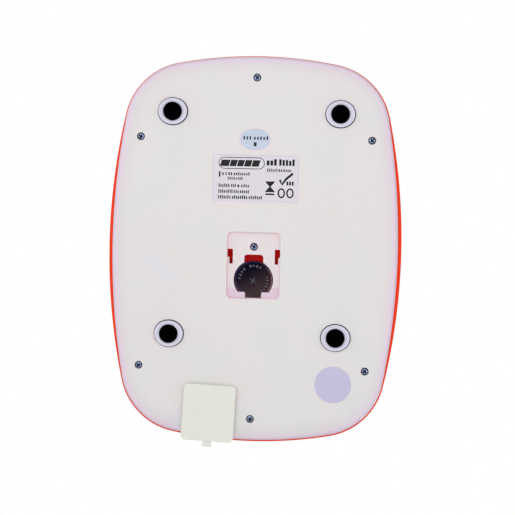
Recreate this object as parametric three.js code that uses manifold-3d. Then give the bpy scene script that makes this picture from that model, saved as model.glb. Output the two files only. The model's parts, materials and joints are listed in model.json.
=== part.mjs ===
// A slim battery-powered scale: an orange top shell that is the weighing platform, an off-white
// base cover, four sprung load-cell feet, a display with two buttons, and a coin-cell pocket in
// the base whose cover has been taken off and laid by the front edge.
//
// Millimetres. +Z is up, -Y is the front (display) end, +X is the user's right. Heights count
// from the ground under the rubber pads; plan positions count from the middle of the casing.

import * as THREE from 'three';
import { mergeVertices } from 'three/addons/utils/BufferGeometryUtils.js';
import Module from 'manifold-3d';

const wasm = await Module();
wasm.setup();

// ---------------------------------------------------------------- driving dimensions

// Each outline is four pairs of tangent arcs: long sides, ends and corners.
const SHELL_FORM = { halfWidth: 76.9, halfLength: 101.2, sideRadius: 324, endRadius: 217, cornerRadius: 35 };
// The base tucks in most at the middle of each long side.
const BASE_FORM = { halfWidth: 75, halfLength: 100.5, sideRadius: 376, endRadius: 216.5, cornerRadius: 34.4 };
const SIDE_STEPS = 3;
const CORNER_STEPS = 6;
const END_STEPS = 2;

const WALL = 2;
const GAP = 0.3;
const UNDERSIDE = 4; // flat underside of the base
const BASE_TOP = 9.4; // upper edge of the base
const SHELL_BOTTOM = BASE_TOP + GAP;
const WIDEST = 12; // height at which the shell is widest
const PLATFORM = 17.5; // weighing surface
const CEILING = 15.3; // underside of the weighing surface
const SHOULDER = 8.5; // how far the rounded shoulder reaches in
const EDGE_CURVE = 11; // how far the base's curved edge reaches in
const LIP = { outer: 2.35, inner: 3.95, bottom: 8.6, top: 11 }; // upstand that locates the shell

const FOOT_SPOTS = [
  ['front_left', -43.6, -44.6],
  ['front_right', 43.6, -44.6],
  ['rear_left', -43.6, 71.4],
  ['rear_right', 43.6, 71.4],
];
const CUP = { rx: 7.6, ry: 6.9, bottom: 1.9, shoulder: 6.4, top: 7.2, flange: 1.5 };
const CUP_CLEARANCE = 0.35;
const PAD = { radius: 4.7, height: 2.7, edge: 0.5 };
const CELL_PLATE = { length: 32, depth: 16, bottom: 8.1, top: 9.3 };
const STAKE = { radius: 1.1, head: 1.9, x: 13.9, y: 5.3 };

const CASING_SCREWS = [
  ['rear', 0, 89.6],
  ['front', 0, -88.5],
  ['rear_left', -60.2, 58.1],
  ['rear_right', 60.2, 58.1],
  ['front_left', -59.3, -61.7],
  ['front_right', 59.3, -61.7],
];
const SCREW = { head: 1.85, headDepth: 1.4, shank: 1.1, recess: 1.5, sink: 0.1 };
const BOSS = { radius: 3, hole: 1.5, baseRadius: 4, baseTop: 7.6 };
const SCREW_TIP = 14;

const POCKET = { width: 27.8, rear: 9.4, front: -25.3, corner: 2.6, floor: 6.6 };
const STRIP = { rear: -19.8, floor: 7 }; // slightly deeper band along the front of the pocket
const TRAY = { margin: 2, bottom: 6.65, top: 8.6 };
const WELL = { y: -15.7, radius: 10.35, wall: 2.15, ceiling: 13, top: 14, lipEdge: -22.1, lipTop: 7.9 };
const WELL_NOTCH = 8.5; // gap between the two lips over the cell's front edge
const FINGER_NOTCH = { width: 10, rear: -2.45, front: -8, corner: 1.6 };
const HOOK_SLOT = { inner: 11, outer: 13.8, ledge: 12.8, rear: 0.4, step: -3.85, front: -7.35 };
const POCKET_SCREW_Y = 1.7;
const COIN_CELL = { radius: 10, thickness: 3.2, bottom: 8.1, cap: 8.2, step: 0.35 };

const COVER = { width: 27.4, length: 29.6, corner: 2.3, thickness: 1.6 };
const COVER_SPOT = { x: 21.65, y: -85.5, z: 0.15, turn: THREE.MathUtils.degToRad(2.5) };
const TONGUE = { width: 4.6, flare: 5.2, length: 3, bottom: 1.1, top: 2.2 };
const HOOK = { inset: 0.5, stem: 1.1, length: 3.1, rise: 1.7, toe: 0.7, y: 4.9 };

const DISPLAY_Y = -73;
const WINDOW = { width: 44, depth: 17, corner: 2.5 };
const LENS = { width: 50, depth: 23, thickness: 0.9, corner: 4 };
const LCD = { width: 44, depth: 19, bottom: 12.9, top: 15 };
const FRAME_RIM = 2.2;
const BOARD = { width: 92, depth: 24, bottom: 10, top: 11.6 };
const BOARD_SCREWS = [['left', -28.2, -82], ['right', 28.2, -82]];
const BUTTON_X = 36.5;
const BUTTON = { rx: 6.7, ry: 4.3, top: 17.9, bottom: 14, flange: 1.3, flangeTop: 14.9 };
const SWITCH = { size: 6, top: 13, plunger: 1.6, plungerTop: 13.35 };

const STICKER = 0.12;
const STICKER_TOP = UNDERSIDE - 0.05;
const LEAD_RADIUS = 0.6;

// ---------------------------------------------------------------- materials

const finish = (color, roughness, metalness = 0, extra = {}) =>
  new THREE.MeshStandardMaterial({ color, roughness, metalness, ...extra });

const MATERIALS = {
  orangePlastic: () => finish(0xee3c0c, 0.3),
  basePlastic: () => finish(0xe1dfdd, 0.45),
  coverPlastic: () => finish(0xe2e4dc, 0.45),
  footPlastic: () => finish(0xd7d4e4, 0.45),
  rubber: () => finish(0x08080b, 0.85),
  screwSteel: () => finish(0x8b95ad, 0.3, 1),
  cellSteel: () => finish(0x4a4a52, 0.25, 1),
  contactSteel: () => finish(0xb9b6ae, 0.3, 1),
  loadCellSteel: () => finish(0xa9adb2, 0.35, 1),
  lens: () => finish(0x15171b, 0.08, 0, { transparent: true, opacity: 0.45 }),
  glass: () => finish(0x9aa692, 0.12),
  darkPlastic: () => finish(0x1c1d20, 0.5),
  elastomer: () => finish(0xd98fa0, 0.8),
  board: () => finish(0x1f6b3a, 0.45),
  chip: () => finish(0x0c0c0e, 0.4),
  whitePlastic: () => finish(0xf2f1ee, 0.35),
  ovalPaper: () => finish(0xc7d3e5, 0.6),
  labelPaper: () => finish(0xe4dae4, 0.6),
  roundPaper: () => finish(0xc5c1db, 0.6),
  redLead: () => finish(0xb3201c, 0.6),
  blackLead: () => finish(0x17171a, 0.6),
  whiteLead: () => finish(0xe4e2dc, 0.6),
};

// ---------------------------------------------------------------- solids

function toSolid(geometry) {
  const bare = geometry.clone();
  bare.deleteAttribute('normal');
  bare.deleteAttribute('uv');
  const welded = mergeVertices(bare, 1e-4);
  return new wasm.Manifold(new wasm.Mesh({
    numProp: 3,
    vertProperties: new Float32Array(welded.attributes.position.array),
    triVerts: new Uint32Array(welded.index.array),
  }));
}

function toGeometry(solid) {
  const { vertProperties, triVerts } = solid.getMesh();
  const geometry = new THREE.BufferGeometry();
  geometry.setAttribute('position', new THREE.BufferAttribute(vertProperties, 3));
  geometry.setIndex(new THREE.BufferAttribute(triVerts, 1));
  geometry.computeVertexNormals();
  return geometry;
}

const join = (...solids) => solids.reduce((whole, next) => whole.add(next));
const cut = (whole, ...tools) => tools.reduce((left, tool) => left.subtract(tool), whole);

// A box from its lowest corner to its highest corner.
function block(x0, y0, z0, x1, y1, z1) {
  const geometry = new THREE.BoxGeometry(x1 - x0, y1 - y0, z1 - z0);
  geometry.translate((x0 + x1) / 2, (y0 + y1) / 2, (z0 + z1) / 2);
  return toSolid(geometry);
}

// An upright round bar.
function bar(x, y, radius, z0, z1, sides = 10, topRadius = radius) {
  const geometry = new THREE.CylinderGeometry(topRadius, radius, z1 - z0, sides);
  geometry.rotateX(Math.PI / 2);
  geometry.translate(x, y, (z0 + z1) / 2);
  return toSolid(geometry);
}

// A flat outline raised from z0 to z1.
function slab(shape, x, y, z0, z1, curveSegments = 8) {
  const geometry = new THREE.ExtrudeGeometry(shape, { depth: z1 - z0, bevelEnabled: false, curveSegments });
  geometry.translate(x, y, z0);
  return toSolid(geometry);
}

function roundedRectangle(width, depth, radius) {
  const [x, y] = [width / 2, depth / 2];
  const shape = new THREE.Shape();
  shape.moveTo(-x + radius, -y);
  shape.lineTo(x - radius, -y);
  shape.absarc(x - radius, -y + radius, radius, -Math.PI / 2, 0);
  shape.lineTo(x, y - radius);
  shape.absarc(x - radius, y - radius, radius, 0, Math.PI / 2);
  shape.lineTo(-x + radius, y);
  shape.absarc(-x + radius, y - radius, radius, Math.PI / 2, Math.PI);
  shape.lineTo(-x, -y + radius);
  shape.absarc(-x + radius, -y + radius, radius, Math.PI, 1.5 * Math.PI);
  return shape;
}

function ellipse(rx, ry, sides = 20) {
  const turns = Array.from({ length: sides }, (_, i) => (2 * Math.PI * i) / sides);
  return new THREE.Shape(turns.map((t) => new THREE.Vector2(rx * Math.cos(t), ry * Math.sin(t))));
}

// ---------------------------------------------------------------- casing outline

// Where two circles cross, on the left of the way from a to b.
function crossing(a, radiusA, b, radiusB) {
  const between = b.clone().sub(a);
  const distance = between.length();
  const along = (distance ** 2 + radiusA ** 2 - radiusB ** 2) / (2 * distance);
  const aside = Math.sqrt(radiusA ** 2 - along ** 2);
  const direction = between.divideScalar(distance);
  const side = new THREE.Vector2(-direction.y, direction.x).multiplyScalar(aside);
  return a.clone().addScaledVector(direction, along).add(side);
}

// The outline of a casing half, drawn in by inset, anticlockwise from +X.
function outline(form, inset) {
  const side = new THREE.Vector2(form.halfWidth - form.sideRadius, 0);
  const end = new THREE.Vector2(0, form.halfLength - form.endRadius);
  const corner = crossing(side, form.sideRadius - form.cornerRadius, end, form.endRadius - form.cornerRadius);
  const sideTurn = corner.clone().sub(side).angle();
  const endTurn = corner.clone().sub(end).angle();
  const arcs = [
    [side, form.sideRadius, 0, sideTurn, SIDE_STEPS],
    [corner, form.cornerRadius, sideTurn, endTurn, CORNER_STEPS],
    [end, form.endRadius, endTurn, Math.PI / 2, END_STEPS],
  ];
  const quarter = arcs.flatMap(([centre, radius, from, to, steps]) =>
    Array.from({ length: steps }, (_, i) => {
      const turn = from + ((to - from) * i) / steps;
      const reach = radius - inset;
      return new THREE.Vector2(centre.x + reach * Math.cos(turn), centre.y + reach * Math.sin(turn));
    }));
  quarter.push(new THREE.Vector2(0, form.halfLength - inset));
  const mirrored = (sx, sy) => quarter.map((p) => new THREE.Vector2(sx * p.x, sy * p.y));
  return [
    ...mirrored(1, 1).slice(0, -1),
    ...mirrored(-1, 1).reverse().slice(0, -1),
    ...mirrored(-1, -1).slice(0, -1),
    ...mirrored(1, -1).reverse().slice(0, -1),
  ];
}

// A solid through one outline at each level, [height, inset], lowest first.
function loft(form, levels) {
  const rings = levels.map(([z, inset]) => outline(form, inset).map((p) => [p.x, p.y, z]));
  const count = rings[0].length;
  const low = rings.length * count;
  const positions = [...rings.flat(), [0, 0, levels[0][0]], [0, 0, levels.at(-1)[0]]];
  const index = [];
  for (let i = 0; i < count; i += 1) {
    const next = (i + 1) % count;
    for (let ring = 0; ring < rings.length - 1; ring += 1) {
      const [a, b] = [ring * count + i, ring * count + next];
      index.push(a, b, b + count, a, b + count, a + count);
    }
    index.push(low, next, i);
    index.push(low + 1, low - count + i, low - count + next);
  }
  const geometry = new THREE.BufferGeometry();
  geometry.setAttribute('position', new THREE.Float32BufferAttribute(positions.flat(), 3));
  geometry.setIndex(index);
  return toSolid(geometry);
}

// Levels along a quarter of an ellipse, from t = 0 to 1.
const quarterCurve = (steps, level) =>
  Array.from({ length: steps + 1 }, (_, i) => level((i / steps) * (Math.PI / 2)));

// ---------------------------------------------------------------- casing

function topShell() {
  const bulge = [[SHELL_BOTTOM, 0.55], [10.6, 0.12]];
  const shoulder = quarterCurve(5, (t) => [
    WIDEST + (PLATFORM - WIDEST) * Math.sin(t),
    SHOULDER * (1 - Math.cos(t)),
  ]);
  const outside = loft(SHELL_FORM, [...bulge, ...shoulder]);
  const inside = loft(SHELL_FORM, [[SHELL_BOTTOM - 1, WALL], [12.4, WALL], [14.4, 4], [CEILING, 8]]);
  const bosses = CASING_SCREWS.map(([, x, y]) => bar(x, y, BOSS.radius, BOSS.baseTop + GAP, CEILING + 0.5));
  const pocketBoss = bar(0, POCKET_SCREW_Y, BOSS.radius, 10.3, CEILING + 0.5);
  const boardBosses = BOARD_SCREWS.map(([, x, y]) => bar(x, y, 2.2, BOARD.top + GAP, CEILING + 0.5));
  const holes = [...CASING_SCREWS, ['pocket', 0, POCKET_SCREW_Y]].map(([, x, y]) =>
    bar(x, y, BOSS.hole, BOSS.baseTop, SCREW_TIP + GAP, 8));
  const boardHoles = BOARD_SCREWS.map(([, x, y]) => bar(x, y, 1.1, BOARD.top, 14.6, 8));
  const recess = roundedRectangle(LENS.width + 2 * GAP, LENS.depth + 2 * GAP, LENS.corner);
  const opening = roundedRectangle(WINDOW.width, WINDOW.depth, WINDOW.corner);
  const keyway = ellipse(BUTTON.rx + GAP, BUTTON.ry + GAP);
  return cut(
    join(cut(outside, inside), ...bosses, pocketBoss, ...boardBosses),
    ...holes,
    ...boardHoles,
    slab(recess, 0, DISPLAY_Y, PLATFORM - LENS.thickness - 0.1, PLATFORM + 1, 4),
    slab(opening, 0, DISPLAY_Y, CEILING - 1, PLATFORM + 1, 4),
    slab(keyway, -BUTTON_X, DISPLAY_Y, CEILING - 1, PLATFORM + 1),
    slab(keyway, BUTTON_X, DISPLAY_Y, CEILING - 1, PLATFORM + 1),
  );
}

// The pocket's outline, grown by a margin, raised from z0 to z1.
function pocketSlab(margin, z0, z1) {
  const length = POCKET.rear - POCKET.front;
  const shape = roundedRectangle(POCKET.width + 2 * margin, length + 2 * margin, POCKET.corner + margin);
  return slab(shape, 0, (POCKET.rear + POCKET.front) / 2, z0, z1, 4);
}

function stripHollow() {
  const strip = block(-15, POCKET.front - 1, POCKET.floor - 0.5, 15, STRIP.rear, STRIP.floor);
  return strip.intersect(pocketSlab(0, UNDERSIDE, TRAY.top));
}

// The round well for the coin cell, narrowed at its mouth by two lips.
function wellHollow() {
  const chamber = bar(0, WELL.y, WELL.radius, WELL.lipTop, WELL.ceiling, 28);
  const throat = bar(0, WELL.y, WELL.radius, POCKET.floor - 0.5, WELL.lipTop + 0.1, 28);
  const lips = block(-15, -30, 0, 15, WELL.lipEdge, 20);
  const half = WELL_NOTCH / 2;
  const notch = block(-half, POCKET.front + 0.2, POCKET.floor, half, WELL.lipEdge + 1, WELL.lipTop + 0.1);
  return join(chamber, cut(throat, lips), notch);
}

function fingerNotch() {
  const { width, rear, front, corner } = FINGER_NOTCH;
  const shape = roundedRectangle(width, rear - front, corner);
  return slab(shape, 0, (rear + front) / 2, POCKET.floor - 0.5, WELL.top + 1, 4);
}

function hookSlots() {
  const { inner, outer, ledge, rear, step, front } = HOOK_SLOT;
  const [z0, z1] = [POCKET.floor - 0.5, TRAY.top + 0.5];
  return [
    block(inner, step, z0, outer, rear, z1),
    block(inner, front, z0, ledge, step + 0.1, z1),
    block(-outer, step, z0, -inner, rear, z1),
    block(-ledge, front, z0, -inner, step + 0.1, z1),
  ];
}

// Two rails that carry a load cell, each with one staked pin.
function cellSupports(x, y) {
  const { x: px, y: py, radius, head } = STAKE;
  const [railBottom, railTop] = [UNDERSIDE + 1, CELL_PLATE.bottom - 0.1];
  const rail = (side) => block(x + side * px - 2, y - 7.4, railBottom, x + side * px + 2, y + 7.4, railTop);
  const pins = [-1, 1].flatMap((side) => [
    bar(x + side * px, y + side * py, radius, CELL_PLATE.bottom - 1, CELL_PLATE.top + 0.6, 8),
    bar(x + side * px, y + side * py, head, CELL_PLATE.top + 0.15, CELL_PLATE.top + 1, 8),
  ]);
  return join(rail(-1), rail(1), ...pins);
}

function baseCover() {
  const curve = (steps, drawnIn, raised) => quarterCurve(steps, (t) => [
    UNDERSIDE + raised + (BASE_TOP - UNDERSIDE) * (1 - Math.cos(t)),
    drawnIn + EDGE_CURVE * (1 - Math.sin(t)),
  ]);
  const outside = loft(BASE_FORM, curve(5, 0, 0));
  const inside = loft(BASE_FORM, curve(3, WALL, WALL));
  const upstand = cut(
    loft(SHELL_FORM, [[LIP.bottom, LIP.outer], [LIP.top, LIP.outer]]),
    loft(SHELL_FORM, [[LIP.bottom - 1, LIP.inner], [LIP.top + 1, LIP.inner]]),
  );
  const pocketWalls = pocketSlab(TRAY.margin, UNDERSIDE, POCKET.floor);
  const screwPads = CASING_SCREWS.map(([, x, y]) => bar(x, y, BOSS.baseRadius, UNDERSIDE + 1, BOSS.baseTop));
  const supports = FOOT_SPOTS.map(([, x, y]) => cellSupports(x, y));
  const screwHoles = CASING_SCREWS.flatMap(([, x, y]) => [
    bar(x, y, SCREW.head + GAP, UNDERSIDE - 1, UNDERSIDE + SCREW.recess + 0.2, 12),
    bar(x, y, BOSS.hole, UNDERSIDE, BOSS.baseTop + 1, 8),
  ]);
  const footHoles = FOOT_SPOTS.map(([, x, y]) =>
    slab(ellipse(CUP.rx + CUP_CLEARANCE, CUP.ry + CUP_CLEARANCE), x, y, UNDERSIDE - 1, UNDERSIDE + WALL + 1));
  const tongueSlot = block(-2.9, POCKET.front - 3.5, 5.1, 2.9, POCKET.front + 0.5, POCKET.floor + 1);
  return cut(
    join(cut(outside, inside), upstand, pocketWalls, ...screwPads, ...supports),
    pocketSlab(0, UNDERSIDE - 1, POCKET.floor + 1),
    ...screwHoles,
    ...footHoles,
    tongueSlot,
  );
}

// The pocket's floor, with the cell's well; it lies on the pocket's walls, held by one screw.
function batteryTray() {
  const plate = pocketSlab(TRAY.margin, TRAY.bottom, TRAY.top);
  const well = bar(0, WELL.y, WELL.radius + WELL.wall, TRAY.bottom, WELL.top, 28);
  const screwPad = bar(0, POCKET_SCREW_Y, BOSS.baseRadius - 0.5, TRAY.top - 1, 10);
  const screwHole = [
    bar(0, POCKET_SCREW_Y, SCREW.head + GAP, POCKET.floor - 0.5, POCKET.floor + SCREW.recess + 0.2, 12),
    bar(0, POCKET_SCREW_Y, BOSS.hole, POCKET.floor, 11, 8),
  ];
  const contactPocket = block(-4.3, WELL.y - 11.5, WELL.lipTop, 4.3, WELL.y - 9, WELL.ceiling);
  const leadHoles = [
    block(-3.6, WELL.y - 14, 12.2, -2.2, WELL.y - 7, WELL.ceiling),
    block(2.2, WELL.y - 14, 10.4, 3.6, WELL.y - 10, 12),
  ];
  return cut(
    join(plate, well, screwPad),
    stripHollow(),
    wellHollow(),
    fingerNotch(),
    ...hookSlots(),
    ...screwHole,
    contactPocket,
    ...leadHoles,
  );
}

// A cross-recess screw, head down, with its head's face at the height given.
function screw(face, tip, head = SCREW.head, shank = SCREW.shank) {
  const arm = head * 0.55;
  return cut(
    join(
      bar(0, 0, head * 0.8, face, face + 0.35, 12, head),
      bar(0, 0, head, face + 0.35, face + SCREW.headDepth, 12),
      bar(0, 0, shank, face + 1, tip, 8),
    ),
    block(-arm, -0.3, face - 1, arm, 0.3, face + 0.8),
    block(-0.3, -arm, face - 1, 0.3, arm, face + 0.8),
  );
}

// ---------------------------------------------------------------- feet

function footCup() {
  const dome = slab(ellipse(CUP.rx, CUP.ry), 0, 0, CUP.bottom + 0.7, CUP.top);
  const rim = slab(ellipse(CUP.rx - 0.5, CUP.ry - 0.5), 0, 0, CUP.bottom, CUP.bottom + 0.8);
  const flange = slab(ellipse(CUP.rx + CUP.flange, CUP.ry + CUP.flange), 0, 0, CUP.shoulder, CUP.top);
  const seat = bar(0, 0, PAD.radius + 0.25, 0, PAD.height + 0.15, 20);
  return cut(join(dome, rim, flange), seat);
}

function rubberPad() {
  const { radius, height, edge } = PAD;
  const profile = [[0, 0], [radius - edge, 0], [radius, edge], [radius, height], [0, height]];
  const geometry = new THREE.LatheGeometry(profile.map(([r, z]) => new THREE.Vector2(r, z)), 20);
  geometry.rotateX(Math.PI / 2);
  return toSolid(geometry);
}

// A steel half-bridge plate whose middle tongue bends when its foot is pressed.
function loadCell() {
  const { length, depth, bottom, top } = CELL_PLATE;
  const plate = slab(roundedRectangle(length, depth, 2), 0, 0, bottom, top, 3);
  const slots = [
    block(-9, -5, 0, 10, -3.6, 20),
    block(-9, 3.6, 0, 10, 5, 20),
    block(8.6, -5, 0, 10, 5, 20),
  ];
  const holes = [-1, 1].map((side) =>
    bar(side * STAKE.x, side * STAKE.y, STAKE.radius + GAP, 0, 20, 8));
  const gauge = block(-7, -2.6, top - 0.1, -1, 2.6, top + 0.5);
  return join(cut(plate, ...slots, ...holes), gauge);
}

// ---------------------------------------------------------------- battery

function coinCell() {
  const { radius, thickness, bottom, cap, step } = COIN_CELL;
  const can = bar(0, 0, radius, bottom, bottom + thickness - step, 28);
  const face = bar(0, 0, cap, bottom + 0.1, bottom + thickness, 28);
  return join(can, face);
}

function batteryCover() {
  const { width, length, corner, thickness } = COVER;
  const plate = slab(roundedRectangle(width, length, corner), 0, 0, 0, thickness, 4);
  const edge = -length / 2;
  const tongueShape = new THREE.Shape([
    [-TONGUE.width / 2, 1], [-TONGUE.width / 2, -TONGUE.length * 0.6], [-TONGUE.flare / 2, -TONGUE.length],
    [TONGUE.flare / 2, -TONGUE.length], [TONGUE.width / 2, -TONGUE.length * 0.6], [TONGUE.width / 2, 1],
  ].map(([x, y]) => new THREE.Vector2(x, y)));
  const tongue = slab(tongueShape, 0, edge, TONGUE.bottom, TONGUE.top);
  const hook = (side) => {
    const out = side * (width / 2 - HOOK.inset);
    const stem = [out - side * HOOK.stem, out].sort((a, b) => a - b);
    const toe = [out - side * HOOK.stem, out + side * (HOOK.toe - HOOK.inset)].sort((a, b) => a - b);
    const [y0, y1] = [HOOK.y - HOOK.length / 2, HOOK.y + HOOK.length / 2];
    return join(
      block(stem[0], y0, thickness - 0.2, stem[1], y1, thickness + HOOK.rise),
      block(toe[0], y0, thickness + HOOK.rise - 0.6, toe[1], y1, thickness + HOOK.rise),
    );
  };
  return join(plate, tongue, hook(-1), hook(1));
}

// A leaf that stands against the cell's rim, with a tail that comes out of the well.
function positiveContact() {
  return join(
    block(-3.9, -11.1, 8.2, 3.9, -10.8, 12.3),
    block(2.5, -14.6, 10.6, 3.3, -10.9, 11.2),
  );
}

// A bowed leaf between the cell and the well's ceiling, with a tail that comes out in front.
function negativeContact() {
  return join(
    block(-3.3, -7.1, 12.5, 3.3, 6.4, 12.8),
    block(-2, -2.6, 11.6, 2, 2.4, 12.6),
    block(-3.3, -14.1, 12.5, -2.5, -6.6, 12.8),
  );
}

// ---------------------------------------------------------------- display and buttons

function lens() {
  const shape = roundedRectangle(LENS.width, LENS.depth, LENS.corner - GAP);
  return slab(shape, 0, 0, PLATFORM - LENS.thickness, PLATFORM, 4);
}

function lcdPanel() {
  const [x, y] = [LCD.width / 2, LCD.depth / 2];
  return block(-x, -y, LCD.bottom, x, y, LCD.top);
}

function lcdFrame() {
  const [x, y] = [LCD.width / 2 + 0.2, LCD.depth / 2 + 0.2];
  return cut(
    block(-x - FRAME_RIM, -y - FRAME_RIM, BOARD.top + GAP, x + FRAME_RIM, y + FRAME_RIM, LCD.top),
    block(-x, -y, 0, x, y, 20),
  );
}

const connectorStrip = () =>
  block(-20, -LCD.depth / 2 + 0.6, BOARD.top + 0.1, 20, -LCD.depth / 2 + 2.6, LCD.bottom - 0.1);

function circuitBoard() {
  const shape = roundedRectangle(BOARD.width, BOARD.depth, 1.5);
  const holes = BOARD_SCREWS.map(([, x, y]) => bar(x, y - DISPLAY_Y, 1.4, 0, 20, 8));
  return cut(slab(shape, 0, 0, BOARD.bottom, BOARD.top, 3), ...holes);
}

function controllerChip() {
  const geometry = new THREE.SphereGeometry(5, 12, 6);
  geometry.scale(1, 1, 0.25);
  geometry.translate(0, 0, BOARD.bottom - 0.1);
  return toSolid(geometry).subtract(block(-6, -6, BOARD.bottom - 0.1, 6, 6, 20));
}

function keySwitch() {
  const half = SWITCH.size / 2;
  return join(
    block(-half, -half, BOARD.top + 0.1, half, half, SWITCH.top),
    bar(0, 0, SWITCH.plunger, SWITCH.top - 0.2, SWITCH.plungerTop, 12),
  );
}

function buttonCap() {
  const { rx, ry, top, bottom, flange, flangeTop } = BUTTON;
  return join(
    slab(ellipse(rx, ry), 0, 0, bottom, top - 0.3),
    slab(ellipse(rx - 0.4, ry - 0.4), 0, 0, top - 0.4, top),
    slab(ellipse(rx + flange, ry + flange), 0, 0, bottom, flangeTop),
  );
}

// ---------------------------------------------------------------- leads

// An insulated lead along a smooth path, six-sided.
function lead(points) {
  const path = new THREE.CatmullRomCurve3(points.map((p) => new THREE.Vector3(...p)), false, 'centripetal');
  const section = ellipse(LEAD_RADIUS, LEAD_RADIUS, 6);
  return toSolid(new THREE.ExtrudeGeometry(section, { steps: 13, bevelEnabled: false, extrudePath: path }));
}

const BOARD_LANDING = [-68.4, BOARD.bottom - 0.4];

const frontLead = (side) => lead([
  [side * 33, -55.2, 8.7], [side * 33, -59, 7.6], [side * 32, -64, 7.2],
  [side * 31, -67.4, 7.9], [side * 31, ...BOARD_LANDING],
]);

const rearLead = (side) => lead([
  [side * 32, 60.8, 8.7], [side * 31, 58, 7.5], [side * 26, 48, 7], [side * 23, 30, 7],
  [side * 22, 0, 7], [side * 22, -30, 7], [side * 21, -55, 7], [side * 20, -65, 7.2],
  [side * 19, -67.6, 8], [side * 19, ...BOARD_LANDING],
]);

const batteryLead = (side, start) => lead([
  start, [side * 5, -35, 8.4], [side * 6.5, -46, 7], [side * 8, -60, 7],
  [side * 9, -67, 7.8], [side * 9, ...BOARD_LANDING],
]);

// ---------------------------------------------------------------- assembly

const scale = new THREE.Group();

function place(name, solid, material, x = 0, y = 0, z = 0, parent = scale) {
  const mesh = new THREE.Mesh(toGeometry(solid), material());
  mesh.name = name;
  mesh.position.set(x, y, z);
  parent.add(mesh);
  return mesh;
}

place('top_shell', topShell(), MATERIALS.orangePlastic);
place('base_cover', baseCover(), MATERIALS.basePlastic);
place('battery_tray', batteryTray(), MATERIALS.basePlastic);

for (const [name, x, y] of CASING_SCREWS) {
  place(`casing_screw_${name}`, screw(UNDERSIDE + SCREW.sink, SCREW_TIP), MATERIALS.screwSteel, x, y);
}
place('pocket_screw', screw(POCKET.floor + SCREW.sink, SCREW_TIP), MATERIALS.screwSteel, 0, POCKET_SCREW_Y);

for (const [name, x, y] of FOOT_SPOTS) {
  const foot = new THREE.Group();
  foot.position.set(x, y, 0);
  scale.add(foot);
  place(`foot_cup_${name}`, footCup(), MATERIALS.footPlastic, 0, 0, 0, foot);
  place(`rubber_pad_${name}`, rubberPad(), MATERIALS.rubber, 0, 0, 0, foot);
  place(`load_cell_${name}`, loadCell(), MATERIALS.loadCellSteel, 0, 0, 0, foot);
}

place('coin_cell', coinCell(), MATERIALS.cellSteel, 0, WELL.y);
place('positive_contact', positiveContact(), MATERIALS.contactSteel, 0, WELL.y);
place('negative_contact', negativeContact(), MATERIALS.contactSteel, 0, WELL.y);

const cover = place('battery_cover', batteryCover(), MATERIALS.coverPlastic);
cover.position.set(COVER_SPOT.x, COVER_SPOT.y, COVER_SPOT.z);
cover.rotation.z = COVER_SPOT.turn;

const display = new THREE.Group();
display.position.set(0, DISPLAY_Y, 0);
scale.add(display);
place('display_window', lens(), MATERIALS.lens, 0, 0, 0, display);
place('lcd_panel', lcdPanel(), MATERIALS.glass, 0, 0, 0, display);
place('lcd_frame', lcdFrame(), MATERIALS.darkPlastic, 0, 0, 0, display);
place('connector_strip', connectorStrip(), MATERIALS.elastomer, 0, 0, 0, display);
place('circuit_board', circuitBoard(), MATERIALS.board, 0, 0, 0, display);
place('controller_chip', controllerChip(), MATERIALS.chip, 0, 0, 0, display);
for (const [name, side] of [['zero', 1], ['unit', -1]]) {
  place(`${name}_button`, buttonCap(), MATERIALS.whitePlastic, side * BUTTON_X, 0, 0, display);
  place(`${name}_switch`, keySwitch(), MATERIALS.darkPlastic, side * BUTTON_X, 0, 0, display);
}
for (const [name, x, y] of BOARD_SCREWS) {
  place(`board_screw_${name}`, screw(BOARD.bottom - 1.6, SCREW_TIP, 1.7, 0.8), MATERIALS.screwSteel, x, y);
}

const flatSticker = (shape) => slab(shape, 0, 0, STICKER_TOP - STICKER, STICKER_TOP, 1);
place('inspection_sticker', flatSticker(ellipse(7.9, 5.6)), MATERIALS.ovalPaper, 0.4, 57.6);
place('rating_label', flatSticker(roundedRectangle(44.8, 24.2, 0.4)), MATERIALS.labelPaper, -0.1, 37.4);
place('round_sticker', flatSticker(ellipse(9.65, 9.65, 28)), MATERIALS.roundPaper, -42.9, -69.2);

for (const [name, side] of [['left', -1], ['right', 1]]) {
  place(`load_cell_lead_front_${name}`, frontLead(side), MATERIALS.whiteLead);
  place(`load_cell_lead_rear_${name}`, rearLead(side), MATERIALS.whiteLead);
}
place('positive_lead', batteryLead(1, [2.9, -31, 10.9]), MATERIALS.redLead);
place('negative_lead', batteryLead(-1, [-2.9, -30.7, 12.6]), MATERIALS.blackLead);

// The origin is the middle of the whole assembly's footprint, on the ground.
scale.updateMatrixWorld(true);
const box = new THREE.Box3().setFromObject(scale, true);
const middle = box.getCenter(new THREE.Vector3());
scale.position.set(-middle.x, -middle.y, -box.min.z);

export default scale;
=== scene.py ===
"""A slim battery scale seen from below, with its battery cover off and lying by the front edge.

Shapes are given in millimetres: x and y from the middle of the casing, z from the ground.
"""

import json
import math
import random

import bpy
from mathutils import Matrix, Vector


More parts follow.
